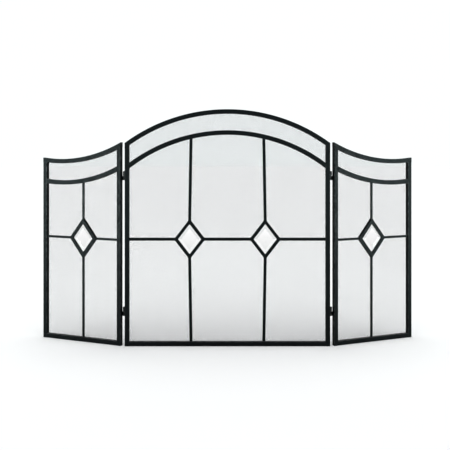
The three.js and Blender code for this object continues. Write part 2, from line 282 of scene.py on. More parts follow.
def finish_piece(shape, axes, node, kind, material, smooth=True):
    """Turns a shape into a piece that stands for a CAD node and rides on its panel's body."""
    for vert in shape.verts:
        vert.co = axes.place(vert.co)
    bmesh.ops.recalc_face_normals(shape, faces=shape.faces[:])
    mesh = bpy.data.meshes.new(f"{node}_{kind}")
    shape.to_mesh(mesh)
    shape.free()
    mesh.materials.append(material)
    piece = bpy.data.objects.new(f"{node}_{kind}", mesh)
    bpy.context.scene.collection.objects.link(piece)
    if smooth:
        mesh.shade_smooth()
        mesh.set_sharp_from_angle(angle=math.radians(SHARP_ANGLE))
        normals = piece.modifiers.new("even_normals", "WEIGHTED_NORMAL")
        normals.keep_sharp = True
    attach(piece, axes.body)
    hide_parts(node)
    return piece


# ---- Welds -----------------------------------------------------------------------------------

welder = random.Random(7)


def weld_bead(shape, section, to_point, to_direction, axis, radius, sunk=0.0):
    """A rippled bead round a joint, `sunk` below the outline that `section` makes there."""
    points = ring(section, sunk, to_point)
    run = 0.0
    rings = []
    for index, (point, rim) in enumerate(zip(points, section)):
        run += (Vector(point) - Vector(points[index - 1])).length
        ripple = 1 + BEAD_RIPPLE * math.sin(2 * math.pi * run / BEAD_RIPPLE_PITCH)
        ripple += BEAD_RIPPLE * welder.uniform(-0.5, 0.5)
        out = Vector(to_direction(rim.out_u, rim.out_v))
        bead = []
        for side in range(BEAD_SIDES):
            angle = 2 * math.pi * side / BEAD_SIDES
            offset = out * math.cos(angle) + Vector(axis) * math.sin(angle)
            bead.append(Vector(point) + offset * radius * ripple)
        rings.append(bead)
    loft(shape, rings, [BEAD_WEAR] * BEAD_SIDES, closed=True)


# ---- Tubes and bars --------------------------------------------------------------------------


def tube_post(axes, node, arc):
    """A square tube from the floor to the underside of a curved rail, open at its foot."""
    low, high = axes.span(node)
    x, y = (low.x + high.x) / 2, (low.y + high.y) / 2
    seat = arc.below(TUBE)
    section = rounded_section(TUBE, TUBE, TUBE_CORNER)

    def level(z):
        return lambda u, v: (x + u, y + v, z)

    def top(u, v):
        return (x + u, y + v, seat.height(x + u) + ROOT_GAP)

    def joint(u, v):
        return (x + u, y + v, seat.height(x + u))

    shape = new_shape()
    rings = [
        ring(section, TUBE_WALL, level(TUBE_BORE_SEEN)),
        ring(section, TUBE_WALL, level(0)),
        ring(section, CUT_EDGE, level(0)),
        ring(section, 0, level(CUT_EDGE)),
        ring(section, 0, top),
    ]
    loft(shape, rings, [rim.wear for rim in section])
    bead_section = rounded_section(TUBE, TUBE, TUBE_CORNER, BEAD_FLAT_STEPS)
    weld_bead(shape, bead_section, joint, lambda u, v: (u, v, 0), UP,
              FLUSH_BEAD_RADIUS, FLUSH_BEAD_SUNK)
    return finish_piece(shape, axes, node, "tube", powder_coat)


def curved_tube(axes, node, arc, welded_ends):
    """A bent square tube. Its ends are either sawn off upright or welded between two posts."""
    low, high = axes.span(node)
    y = (low.y + high.y) / 2
    start, end = low.x, high.x
    if welded_ends:
        start, end = start - ROOT_GAP, end + ROOT_GAP
    section = rounded_section(TUBE, TUBE, TUBE_CORNER)

    def station(x):
        return lambda u, v: (x, y + v, arc.below(TUBE / 2 - u).height(x))

    stations = [start + (end - start) * step / CURVE_STATIONS for step in range(CURVE_STATIONS + 1)]
    rings = [ring(section, 0, station(x)) for x in stations]
    if not welded_ends:
        rings[0] = ring(section, 0, station(start + CUT_EDGE))
        rings[-1] = ring(section, 0, station(end - CUT_EDGE))
        rings.insert(0, ring(section, CUT_EDGE, station(start)))
        rings.append(ring(section, CUT_EDGE, station(end)))
    shape = new_shape()
    loft(shape, rings, [rim.wear for rim in section])
    if welded_ends:
        bead_section = rounded_section(TUBE, TUBE, TUBE_CORNER, BEAD_FLAT_STEPS)
        for x in (low.x, high.x):
            weld_bead(shape, bead_section, station(x), lambda u, v: (0, v, u), (1, 0, 0),
                      FLUSH_BEAD_RADIUS, FLUSH_BEAD_SUNK)
    return finish_piece(shape, axes, node, "tube", powder_coat)


def straight_bar(axes, node, kind, section_of, start, end, to_point, to_direction, axis, lift=0.0):
    """A bar welded at both ends. `start` and `end` give where it ends, by place in its section.

    Its beads can be lifted, which hides them under it and leaves them proud on top.
    """

    def at(reach, run_on):
        return lambda u, v: to_point(u, v, reach(u) + run_on)

    (start_reach, start_gap), (end_reach, end_gap) = start, end
    section, bead_section = section_of(2), section_of(BEAD_FLAT_STEPS)
    shape = new_shape()
    rings = [
        ring(section, 0, at(start_reach, -start_gap)),
        ring(section, 0, at(end_reach, end_gap)),
    ]
    loft(shape, rings, [rim.wear for rim in section])
    for reach in (start_reach, end_reach):
        root = at(reach, 0)
        weld_bead(shape, bead_section, lambda u, v: Vector(root(u, v)) + UP * lift, to_direction,
                  axis, BEAD_RADIUS, BEAD_RADIUS / 2 + lift)
    return finish_piece(shape, axes, node, kind, powder_coat)


# One end of an upright bar: where its middle stands across the panel, and how wide it is there.
BarEnd = namedtuple("BarEnd", "middle width")


def bar_ends(axes, node):
    """The foot and the head of an upright bar."""
    low, high = axes.span(node)
    ends = []
    for is_head in (False, True):
        across = [p.x for p in axes.points(node) if (p.z > (low.z + high.z) / 2) == is_head]
        left, right = min(across), max(across)
        ends.append(BarEnd((left + right) / 2, right - left))
    return ends


def upright_bar(axes, node, start, end):
    """An upright bar, which may lean."""
    low, high = axes.span(node)
    foot, head = bar_ends(axes, node)
    y = (low.y + high.y) / 2
    lean = (head.middle - foot.middle) / (high.z - low.z)
    return straight_bar(
        axes, node, "bar",
        lambda steps: rounded_section(foot.width, high.y - low.y, BAR_CORNER, steps),
        start, end,
        lambda u, v, z: (foot.middle + lean * (z - low.z) + u, y + v, z),
        lambda u, v: (u, v, 0),
        (0, 0, 1),
    )


def level_bar(axes, node, start, end):
    low, high = axes.span(node)
    y, z = (low.y + high.y) / 2, (low.z + high.z) / 2
    return straight_bar(
        axes, node, "bar",
        lambda steps: rounded_section(high.z - low.z, high.y - low.y, BAR_CORNER, steps),
        start, end,
        lambda u, v, x: (x, y + v, z + u),
        lambda u, v: (0, v, u),
        (1, 0, 0),
    )


def bottom_rail(axes, node):
    low, high = axes.span(node)
    y, z = (low.y + high.y) / 2, (low.z + high.z) / 2
    return straight_bar(
        axes, node, "tube",
        lambda steps: rounded_section(TUBE, TUBE, TUBE_CORNER, steps),
        square_end(low.x), square_end(high.x),
        lambda u, v, x: (x, y + v, z + u),
        lambda u, v: (0, v, u),
        (1, 0, 0),
        BEAD_LIFT,
    )


def square_end(at):
    return (lambda offset: at), ROOT_GAP


# ---- Diamonds --------------------------------------------------------------------------------


class Diamond:
    """The outer edge of a diamond frame, and the rhombuses that run inside it."""

    def __init__(self, axes, frame_node):
        low, high = axes.span(frame_node)
        self.x = (low.x + high.x) / 2
        self.y = (low.y + high.y) / 2
        self.z = (low.z + high.z) / 2
        self.half_width = (high.x - low.x) / 2
        self.half_height = (high.z - low.z) / 2
        self.half_depth = (high.y - low.y) / 2
        side = math.hypot(self.half_width, self.half_height)
        self.distance = self.half_width * self.half_height / side
        self.slope = self.half_height / self.half_width
        inner = [p for p in axes.points(frame_node) if abs(p.z - self.z) < SAME_PLACE]
        self.bore = min(abs(p.x - self.x) for p in inner) * self.distance / self.half_width

    def corners(self, distance, bend=0.0):
        """A rhombus whose sides lie `distance` from the middle, its corners bent round."""
        share = (distance - bend) / self.distance
        turns = math.atan2(self.half_width, self.half_height)
        loop = []
        for across, up in DIAMOND_CORNERS:
            tip_x, tip_z = across * self.half_width * share, up * self.half_height * share
            spread = turns if across else math.pi / 2 - turns
            facing = math.atan2(up, across)
            for step in range(CORNER_STEPS + 1):
                angle = facing + spread * (2 * step / CORNER_STEPS - 1)
                x = self.x + tip_x + bend * math.cos(angle)
                loop.append((x, self.z + tip_z + bend * math.sin(angle)))
        return loop

    def rhombus(self, distance):
        share = distance / self.distance
        return [
            (self.x + across * self.half_width * share, self.z + up * self.half_height * share)
            for across, up in DIAMOND_CORNERS
        ]

    def below(self):
        """The end of an upright bar that meets the lower corner."""
        reach = lambda offset: self.z - self.half_height + self.slope * abs(offset)
        return reach, DIAMOND_ROOT_GAP

    def above(self):
        reach = lambda offset: self.z + self.half_height - self.slope * abs(offset)
        return reach, DIAMOND_ROOT_GAP

    def beside(self, side):
        """The end of a level bar that meets the corner on that side."""
        reach = lambda offset: self.x + side * (self.half_width - abs(offset) / self.slope)
        return reach, DIAMOND_ROOT_GAP


def diamond_strip(axes, node, diamond):
    """A strip bent into a diamond, with a groove inside it for the edge of the glass."""
    width = diamond.distance - diamond.bore
    centre = diamond.bore + width / 2
    section = rounded_section(width, 2 * diamond.half_depth, STRIP_CORNER)
    glass_high = axes.span(node.replace("diamond_frame", "glass_diamond"))[1]
    lip = glass_high.y - diamond.y + GROOVE_PLAY
    floor = diamond.bore + GROOVE_DEPTH
    profile = [(centre + rim.u, rim.v, rim.wear) for rim in section]
    inner = [(diamond.bore, lip, 0), (floor, lip, 0), (floor, -lip, 0), (diamond.bore, -lip, 0)]
    after_back_corner = 2 * (CORNER_STEPS + 1)
    profile[after_back_corner:after_back_corner] = inner
    shape = new_shape()
    layer = shape.verts.layers.float["wear"]
    rings = []
    for distance, _, _ in profile:
        bend = STRIP_BEND * (distance - diamond.bore) + STRIP_LEAST_BEND
        rings.append(diamond.corners(distance, bend))
    made = loft(
        shape,
        [[(x, diamond.y + back, z) for x, z in loop] for loop, (_, back, _) in zip(rings, profile)],
        [0] * len(rings[0]),
        closed=True,
    )
    for verts, (_, _, wear) in zip(made, profile):
        for vert in verts:
            vert[layer] = wear
    return finish_piece(shape, axes, node, "strip", powder_coat)


def glass_pane(axes, node, diamond):
    """A clear diamond with a wide polished bevel round its front."""
    points = axes.points(node)
    low, high = axes.span(node)
    flat = [p for p in points if abs(p.y - low.y) < SAME_PLACE]
    rim = max(p.x for p in points) - diamond.x
    flat_half = max(p.x for p in flat) - diamond.x
    to_distance = diamond.distance / diamond.half_width
    thin = high.y - GLASS_RIM
    steps = [
        (flat_half * to_distance, low.y),
        (diamond.bore - GLASS_CLEARANCE, thin),
        (rim * to_distance, thin),
        (rim * to_distance, high.y),
    ]
    shape = new_shape()
    rings = [[(x, y, z) for x, z in diamond.rhombus(distance)] for distance, y in steps]
    loft(shape, rings, [0] * len(DIAMOND_CORNERS))
    pane = finish_piece(shape, axes, node, "bevelled", clear_glass, smooth=False)
    edges = pane.modifiers.new("broken_edges", "BEVEL")
    edges.width = GLASS_EDGE_BREAK
    edges.segments = 2
    edges.limit_method = "ANGLE"
    edges.angle_limit = math.radians(GLASS_BREAK_ANGLE)
    return pane


# ---- Wire mesh -------------------------------------------------------------------------------

weaver = random.Random(11)


def panel_outline(width, arc, inset):
    """The inside of a panel's outline, `inset` in from its edge."""
    run = width - 2 * inset
    loop = [(width - inset, inset), (inset, inset)]
    for step in range(CURVE_STATIONS + 1):
        x = inset + run * step / CURVE_STATIONS
        loop.append((x, arc.below(inset).height(x)))
    return loop


def crossings(origin, direction, loops):
    """How far along a line it crosses the loops, in order."""
    found = []
    dx, dz = direction
    for loop in loops:
        for (ax, az), (bx, bz) in zip(loop, loop[1:] + loop[:1]):
            ex, ez = bx - ax, bz - az
            cross = dx * ez - dz * ex
            if abs(cross) < PARALLEL:
                continue
            ox, oz = ax - origin[0], az - origin[1]
            share = (ox * dz - oz * dx) / cross
            if 0 <= share < 1:
                found.append((ox * ez - oz * ex) / cross)
    return sorted(found)


def wire(shape, start, end, y, direction):
    dx, dz = direction
    rings = []
    for x, z in (start, end):
        points = []
        for side in range(WIRE_SIDES):
            angle = 2 * math.pi * side / WIRE_SIDES
            over = WIRE_RADIUS * math.cos(angle)
            points.append((x - dz * over, y + WIRE_RADIUS * math.sin(angle), z + dx * over))
        rings.append(points)
    loft(shape, rings, [0] * WIRE_SIDES)


def lay_wires(shape, loops, y, slant):
    """One layer of straight slanting wires, a little uneven, cut to the loops."""
    diagonal = math.hypot(CELL_WIDTH, CELL_HEIGHT)
    direction = (CELL_WIDTH / diagonal, slant * CELL_HEIGHT / diagonal)
    dx, dz = direction
    spacing = CELL_WIDTH * CELL_HEIGHT / diagonal
    reaches = [-dz * x + dx * z for x, z in loops[0]]
    first = math.ceil(min(reaches) / spacing)
    last = math.floor(max(reaches) / spacing)
    for line in range(first, last + 1):
        reach = (line + weaver.uniform(-WIRE_WANDER, WIRE_WANDER)) * spacing
        origin = (-dz * reach, dx * reach)
        along = crossings(origin, direction, loops)
        for near, far in zip(along[::2], along[1::2]):
            start = (origin[0] + dx * near, origin[1] + dz * near)
            end = (origin[0] + dx * far, origin[1] + dz * far)
            wire(shape, start, end, y, direction)


def hem(shape, outline, outer, inner, front):
    """A flat folded hem that holds the wires' ends. `outline` gives its loop at a distance."""
    back = front + HEM_THICKNESS
    way = math.copysign(HEM_EDGE, inner - outer)
    profile = [
        (outer, front + HEM_EDGE), (outer + way, front),
        (inner - way, front), (inner, front + HEM_EDGE),
        (inner, back - HEM_EDGE), (inner - way, back),
        (outer + way, back), (outer, back - HEM_EDGE),
    ]
    rings = [[(x, y, z) for x, z in outline(distance)] for distance, y in profile]
    loft(shape, rings, [HEM_WEAR] * len(rings[0]), closed=True)


def spot_weld(shape, x, y, z):
    rings = []
    for radius, height in SPOT_PROFILE:
        loop = []
        for side in range(SPOT_SIDES):
            angle = 2 * math.pi * side / SPOT_SIDES
            reach = SPOT_RADIUS * radius
            loop.append((x + reach * math.cos(angle), y + SPOT_HEIGHT * height,
                         z + reach * math.sin(angle)))
        rings.append(loop)
    loft(shape, rings, [SPOT_WEAR] * SPOT_SIDES)


def spots_along(shape, loop, y):
    """Spot welds at an even pitch along a closed line."""
    for (ax, az), (bx, bz) in zip(loop, loop[1:] + loop[:1]):
        length = math.hypot(bx - ax, bz - az)
        for step in range(round(length / SPOT_PITCH)):
            share = (step + 0.5) / round(length / SPOT_PITCH)
            spot_weld(shape, ax + (bx - ax) * share, y, az + (bz - az) * share)


def wire_mesh(axes, node, width, arc, diamonds):
    """Fine diamond mesh in two layers, hemmed round its edge and round each diamond's window."""
    low, _ = axes.span(node)
    front = TUBE + HEM_OFF_FRAME
    hem_outer, hem_inner = low.x, low.x + HEM_WIDTH
    holes = []
    for diamond in diamonds:
        level = [p for p in axes.points(node) if abs(p.z - diamond.z) < SAME_PLACE]
        half_width = min(abs(p.x - diamond.x) for p in level)
        holes.append(half_width * diamond.distance / diamond.half_width)
    loops = [panel_outline(width, arc, (hem_outer + hem_inner) / 2)]
    for diamond, hole in zip(diamonds, holes):
        loops.append(diamond.rhombus(hole + WINDOW_HEM_WIDTH / 2))
    shape = new_shape()
    mid = front + HEM_THICKNESS / 2
    lay_wires(shape, loops, mid - WIRE_RADIUS, 1)
    lay_wires(shape, loops, mid + WIRE_RADIUS, -1)
    hem(shape, lambda inset: panel_outline(width, arc, inset), hem_outer, hem_inner, front)
    for diamond, hole in zip(diamonds, holes):
        hem(shape, diamond.rhombus, hole, hole + WINDOW_HEM_WIDTH, front)
        spots_along(shape, diamond.rhombus(hole + WINDOW_HEM_WIDTH / 2), front + HEM_THICKNESS)
    foot_corners, curve = loops[0][:2], loops[0][2:]
    spots_along(shape, foot_corners + curve[::SPOT_STATIONS], front + HEM_THICKNESS)
    return finish_piece(shape, axes, node, "wires", mesh_wire)


# ---- Feet and hinges -------------------------------------------------------------------------


def foot_plug(axes, node):
    """A square plug pressed into a post's open foot, dished underneath."""
    low, high = axes.span(node)
    x, y = (low.x + high.x) / 2, (low.y + high.y) / 2
    section = rounded_section(high.x - low.x, high.y - low.y, PLUG_CORNER)

    def level(z):
        return lambda u, v: (x + u, y + v, z)

    steps = [
        (PLUG_DISH, PLUG_EDGE),
        (PLUG_DISH - PLUG_EDGE, 0),
        (PLUG_EDGE, 0),
        (0, PLUG_EDGE),
        (0, high.z - PLUG_EDGE),
        (PLUG_EDGE, high.z),
    ]
    shape = new_shape()
    rings = []
    for inset, z in steps:
        share = 1 - inset / (high.x - low.x) * 2
        rings.append([(x + rim.u * share, y + rim.v * share, z) for rim in section])
    loft(shape, rings, [0] * len(section))
    return finish_piece(shape, axes, node, "moulding", black_plastic)


def knuckle_outline(side, radius, leaf, edge):
    """Top view of a barrel with its leaf, moved in by `edge`, from the leaf's tip round."""
    reach, leaf_front, leaf_back = leaf
    front, back = leaf_front + edge, leaf_back - edge
    outer = radius - edge
    tip = reach - edge
    start = math.asin(back / outer)
    end = 2 * math.pi + math.asin(front / outer)
    outline = [(tip, front), (tip, back)]
    for step in range(KNUCKLE_SIDES + 1):
        angle = start + (end - start) * step / KNUCKLE_SIDES
        outline.append((outer * math.cos(angle), outer * math.sin(angle)))
    return [(side * x, y) for x, y in outline]


def knuckle(axes, node, pin, side):
    """Half a hinge: a bored barrel round the pin, and the leaf that is welded to the post."""
    low, high = axes.span(node)
    pin_low, pin_high = axes.span(pin)
    x, y = (pin_low.x + pin_high.x) / 2, (pin_low.y + pin_high.y) / 2
    radius = high.y - y
    bore = (pin_high.x - pin_low.x) / 2 + PIN_CLEARANCE
    reach = (high.x - x) if side > 0 else (x - low.x)
    leaf_tip = [p.y - y for p in axes.points(node) if abs(abs(p.x - x) - reach) < SAME_PLACE]
    leaf = (reach, min(leaf_tip), max(leaf_tip))
    shape = new_shape()

    def outline(edge, z):
        return [(x + u, y + v, z) for u, v in knuckle_outline(side, radius, leaf, edge)]

    def hole(extra, z):
        turns = [2 * math.pi * step / KNUCKLE_SIDES for step in range(KNUCKLE_SIDES)]
        grown = bore + extra
        return [(x + grown * math.cos(turn), y + grown * math.sin(turn), z) for turn in turns]

    outside = [
        outline(KNUCKLE_EDGE, low.z),
        outline(0, low.z + KNUCKLE_EDGE),
        outline(0, high.z - KNUCKLE_EDGE),
        outline(KNUCKLE_EDGE, high.z),
    ]
    inside = [
        hole(KNUCKLE_EDGE / 2, low.z),
        hole(0, low.z + KNUCKLE_EDGE),
        hole(0, high.z - KNUCKLE_EDGE),
        hole(KNUCKLE_EDGE / 2, high.z),
    ]
    made = []
    for rings in (outside, inside):
        verts = loft(shape, rings, [KNUCKLE_WEAR] * len(rings[0]))
        made.append((verts[0], verts[-1]))
    caps = [face for face in shape.faces if len(face.verts) > 4]
    bmesh.ops.delete(shape, geom=caps, context="FACES_ONLY")
    for level in range(2):
        edges = []
        for ends in made:
            loop = ends[level]
            for one, other in zip(loop, loop[1:] + loop[:1]):
                edges.append(shape.edges.get((one, other)))
        bmesh.ops.triangle_fill(shape, use_beauty=True, edges=edges)
    leaf_weld(shape, x + side * reach, y + leaf[1], low.z, high.z)
    return finish_piece(shape, axes, node, "barrel", hinge_coat)


def leaf_weld(shape, x, y, low, high):
    """A short bead down the end of a leaf."""
    steps = round((high - low) / (BEAD_RIPPLE_PITCH / 4))
    rings = []
    for step in range(steps + 1):
        share = step / steps
        run = (high - low) * share
        ripple = 1 + BEAD_RIPPLE * math.sin(2 * math.pi * run / BEAD_RIPPLE_PITCH)
        along = LEAF_BEAD_TAPER + (1 - 2 * LEAF_BEAD_TAPER) * share
        taper = math.sin(math.pi * along) ** LEAF_BEAD_BLUNTNESS
        size = BEAD_RADIUS * ripple * taper
        loop = []
        for side in range(BEAD_SIDES):
            angle = 2 * math.pi * side / BEAD_SIDES
            loop.append((x + size * math.cos(angle), y + size * math.sin(angle), low + run))
        rings.append(loop)
    loft(shape, rings, [BEAD_WEAR] * BEAD_SIDES)


def hinge_pin(axes, node):
    """A turned pin with a domed tip."""
    low, high = axes.span(node)
    x, y = (low.x + high.x) / 2, (low.y + high.y) / 2
    radius = (high.x - low.x) / 2
    dome = PIN_DOME * radius
    chamfer = PIN_CHAMFER * radius
    profile = [(radius - chamfer, low.z), (radius, low.z + chamfer)]
    for step in range(PIN_DOME_STEPS):
        angle = math.pi / 2 * step / PIN_DOME_STEPS
        profile.append((radius * math.cos(angle), high.z - dome + dome * math.sin(angle)))
    rings = []
    for size, z in profile:
        turns = [2 * math.pi * step / KNUCKLE_SIDES for step in range(KNUCKLE_SIDES)]
        rings.append([(x + size * math.cos(turn), y + size * math.sin(turn), z) for turn in turns])
    shape = new_shape()
    loft(shape, rings, [0] * KNUCKLE_SIDES)
    return finish_piece(shape, axes, node, "turned", pin_steel)


# ---- Materials -------------------------------------------------------------------------------
# A finish mixes noise of a named size with these colours. The numbers in a call to spread are the
# part of a pattern that shows, then what it is turned into.

COAT_BLACK, COAT_WORN, COAT_SPECULAR = (0.002, 0.0033, 0.0037), (0.06, 0.062, 0.064), 0.08
HINGE_BLACK, HINGE_WORN, HINGE_SPECULAR = (0.002, 0.0026, 0.0028), (0.09, 0.09, 0.09), 0.18
FADED = 1.5  # how much lighter the coat's faded patches are
# A grey for faces that look up: partly dust, partly a painted highlight along the tops of the
# rails.
DUST_AND_PAINTED_HIGHLIGHT = (0.3, 0.3, 0.29)
WIRE_BLACK, WIRE_GREY = (0.008, 0.0085, 0.009), (0.02, 0.021, 0.022)
# The second glass colour is painted shade: it darkens each pane towards its bottom.
GLASS_CLEAR, GLASS_PAINTED_SHADE = (0.96, 0.95, 0.945), (0.8, 0.795, 0.79)
# Painted shade greys the bevels that face up, and painted light keeps the bevels that face down
# clear white.
GLASS_UPPER_BEVEL_PAINTED_SHADE, GLASS_LOWER_BEVEL_PAINTED_LIGHT = (0.66, 0.66, 0.655), (1.0, 1.0, 1.0)
STEEL_DARK, STEEL_LIGHT = (0.02, 0.02, 0.021), (0.06, 0.06, 0.062)
PLASTIC_BLACK, PLASTIC_SCUFFED = (0.007, 0.007, 0.0075), (0.03, 0.03, 0.03)
PAINTED_SHADE_TOP, PAINTED_SHADE_FULL = 0.39, 0.325  # metres up, where the painted shade on the glass begins and is full

MIX_A, MIX_B, MIX_RESULT = 6, 7, 2  # the colour sockets of a Mix node, whose names aren't unique


class Finish:
    """A Principled material and the few node patterns that these finishes are made of."""

    def __init__(self, name):
        self.material = bpy.data.materials.new(name)
        self.material.use_nodes = True
        self.tree = self.material.node_tree
        self.shader = self.tree.nodes["Principled BSDF"]
        self.place = self.tree.nodes.new("ShaderNodeTexCoord").outputs["Object"]

    def link(self, output, socket):
        self.tree.links.new(output, socket)

    def noise(self, size, detail=2.0, stretch=(1, 1, 1)):
        """Noise whose blobs are about `size` metres across."""
        mapping = self.tree.nodes.new("ShaderNodeMapping")
        mapping.inputs["Scale"].default_value = stretch
        self.link(self.place, mapping.inputs["Vector"])
        texture = self.tree.nodes.new("ShaderNodeTexNoise")
        texture.inputs["Scale"].default_value = 1 / size
        texture.inputs["Detail"].default_value = detail
        self.link(mapping.outputs["Vector"], texture.inputs["Vector"])
        return texture.outputs["Fac"]

    def spread(self, value, low, high, to_low, to_high):
        """Maps low..high of a pattern to another range, clamped."""
        node = self.tree.nodes.new("ShaderNodeMapRange")
        for name, number in zip(("From Min", "From Max", "To Min", "To Max"),
                                (low, high, to_low, to_high)):
            node.inputs[name].default_value = number
        self.link(value, node.inputs["Value"])
        return node.outputs["Result"]

    def combine(self, operation, one, other):
        node = self.tree.nodes.new("ShaderNodeMath")
        node.operation = operation
        self.link(one, node.inputs[0])
        self.link(other, node.inputs[1])
        return node.outputs["Value"]

    def blend(self, share, one, other):
        """A colour between two, by a pattern. Each is a colour or another blend's output."""
        node = self.tree.nodes.new("ShaderNodeMix")
        node.data_type = "RGBA"
        self.link(share, node.inputs["Factor"])
        for socket, colour in ((node.inputs[MIX_A], one), (node.inputs[MIX_B], other)):
            if isinstance(colour, tuple):
                socket.default_value = (*colour, 1)
            else:
                self.link(colour, socket)
        return node.outputs[MIX_RESULT]

    def wear(self):
        node = self.tree.nodes.new("ShaderNodeAttribute")
        node.attribute_name = "wear"
        return node.outputs["Fac"]

    def upward(self, vector, low, high):
        """0 to 1 as a vector's Z goes from low to high."""
        split = self.tree.nodes.new("ShaderNodeSeparateXYZ")
        self.link(vector, split.inputs["Vector"])
        return self.spread(split.outputs["Z"], low, high, 0, 1)

    def tilt(self, low, high):
        """0 to 1 as a face tilts from low to high, 1 being level and 0 upright."""
        geometry = self.tree.nodes.new("ShaderNodeNewGeometry")
        return self.upward(geometry.outputs["Normal"], low, high)

    def height(self, low, high):
        return self.upward(self.place, low, high)

    def bump(self, *layers):
        """Stacks bumps, each a pattern and its height in metres."""
        below = None
        for pattern, height in layers:
            node = self.tree.nodes.new("ShaderNodeBump")
            node.inputs["Strength"].default_value = 1.0
            node.inputs["Distance"].default_value = height
            self.link(pattern, node.inputs["Height"])
            if below is not None:
                self.link(below, node.inputs["Normal"])
            below = node.outputs["Normal"]
        self.link(below, self.shader.inputs["Normal"])

    def number(self, name, value):
        self.shader.inputs[name].default_value = value


def make_powder_coat(name, black, worn, specular):
    """Black satin powder coat: orange peel, patchy gloss, rubbed edges, and a light grey on its
    upward faces that is a little dust and a painted highlight.
    """
    finish = Finish(name)
    rubbing = finish.spread(finish.noise(9 * MM, 5), 0.46, 0.66, 0, 1)
    rubbed = finish.combine("MULTIPLY", finish.wear(), rubbing)
    # Dust and painted highlight on upward faces.
    dust_and_highlight_share = finish.spread(finish.noise(14 * MM, 6), 0.3, 0.75, 0, 0.4)
    dust_and_highlight_on_tops = finish.combine("MULTIPLY", finish.tilt(0.6, 0.95), dust_and_highlight_share)
    patches = finish.spread(finish.noise(60 * MM, 3), 0.35, 0.65, 0, 1)
    shade = finish.blend(patches, black, tuple(FADED * channel for channel in black))
    colour = finish.blend(rubbed, shade, worn)
    colour = finish.blend(dust_and_highlight_on_tops, colour, DUST_AND_PAINTED_HIGHLIGHT)
    finish.link(colour, finish.shader.inputs["Base Color"])
    satin = finish.spread(finish.noise(12 * MM, 5), 0.36, 0.64, 0.34, 0.58)
    finish.link(satin, finish.shader.inputs["Roughness"])
    finish.number("Specular IOR Level", specular)
    finish.bump((finish.noise(1.4 * MM, 1.5), 0.11 * MM), (finish.noise(0.3 * MM, 1), 0.02 * MM))
    return finish.material


def make_mesh_wire():
    finish = Finish("black_mesh_wire")
    patches = finish.spread(finish.noise(30 * MM, 4), 0.35, 0.7, 0, 1)
    colour = finish.blend(patches, WIRE_BLACK, WIRE_GREY)
    finish.link(colour, finish.shader.inputs["Base Color"])
    satin = finish.spread(finish.noise(8 * MM, 3), 0.3, 0.7, 0.38, 0.6)
    finish.link(satin, finish.shader.inputs["Roughness"])
    finish.number("Specular IOR Level", 0.1)
    finish.bump((finish.noise(0.4 * MM, 2), 0.01 * MM))
    return finish.material


def make_clear_glass():
    """Clear glass, with painted shade greying its upper bevels and darkening it towards the bottom,
    and painted light keeping its lower bevels clear.
    """
    finish = Finish("clear_bevelled_glass")
    # Painted shade: the glass is made darker towards the bottom of each pane, with an uneven edge.
    unevenness = finish.spread(finish.noise(9 * MM, 4), 0.3, 0.7, -0.12, 0.12)
    painted_shade_share = finish.combine("ADD", finish.height(PAINTED_SHADE_TOP, PAINTED_SHADE_FULL), unevenness)
    flat = finish.blend(painted_shade_share, GLASS_CLEAR, GLASS_PAINTED_SHADE)
    # Painted shade on bevels that face up, painted light on bevels that face down.
    upper = finish.blend(finish.tilt(0.08, 0.2), flat, GLASS_UPPER_BEVEL_PAINTED_SHADE)
    glass_colour_with_painted_light = finish.blend(finish.tilt(-0.08, -0.2), upper, GLASS_LOWER_BEVEL_PAINTED_LIGHT)
    finish.link(glass_colour_with_painted_light, finish.shader.inputs["Base Color"])
    haze = finish.spread(finish.noise(12 * MM, 5), 0.5, 0.8, 0.0, 0.03)
    finish.link(haze, finish.shader.inputs["Roughness"])
    finish.number("Transmission Weight", 1.0)
    finish.number("IOR", 1.5)
    finish.bump((finish.noise(25 * MM, 1), 0.02 * MM))
    return finish.material


def make_pin_steel():
    """Blackened steel with fine turning marks."""
    finish = Finish("blackened_pin_steel")
    marks = finish.noise(0.5 * MM, 2, stretch=(0.2, 0.2, 2))
    colour = finish.blend(marks, STEEL_DARK, STEEL_LIGHT)
    finish.link(colour, finish.shader.inputs["Base Color"])
    finish.link(finish.spread(marks, 0.3, 0.7, 0.25, 0.45), finish.shader.inputs["Roughness"])
    finish.number("Metallic", 0.8)
    finish.bump((marks, 0.01 * MM))
    return finish.material


def make_black_plastic():
    finish = Finish("black_moulded_plastic")
    scuffs = finish.spread(finish.noise(2.5 * MM, 6), 0.5, 0.75, 0, 1)
    colour = finish.blend(scuffs, PLASTIC_BLACK, PLASTIC_SCUFFED)
    finish.link(colour, finish.shader.inputs["Base Color"])
    finish.link(finish.spread(scuffs, 0, 1, 0.5, 0.8), finish.shader.inputs["Roughness"])
    finish.bump((finish.noise(0.3 * MM, 2), 0.02 * MM))
    return finish.material


powder_coat = make_powder_coat("black_powder_coat", COAT_BLACK, COAT_WORN, COAT_SPECULAR)
hinge_coat = make_powder_coat("hinge_powder_coat", HINGE_BLACK, HINGE_WORN, HINGE_SPECULAR)
mesh_wire = make_mesh_wire()
clear_glass = make_clear_glass()
pin_steel = make_pin_steel()
black_plastic = make_black_plastic()

# ---- The centre panel ------------------------------------------------------------------------


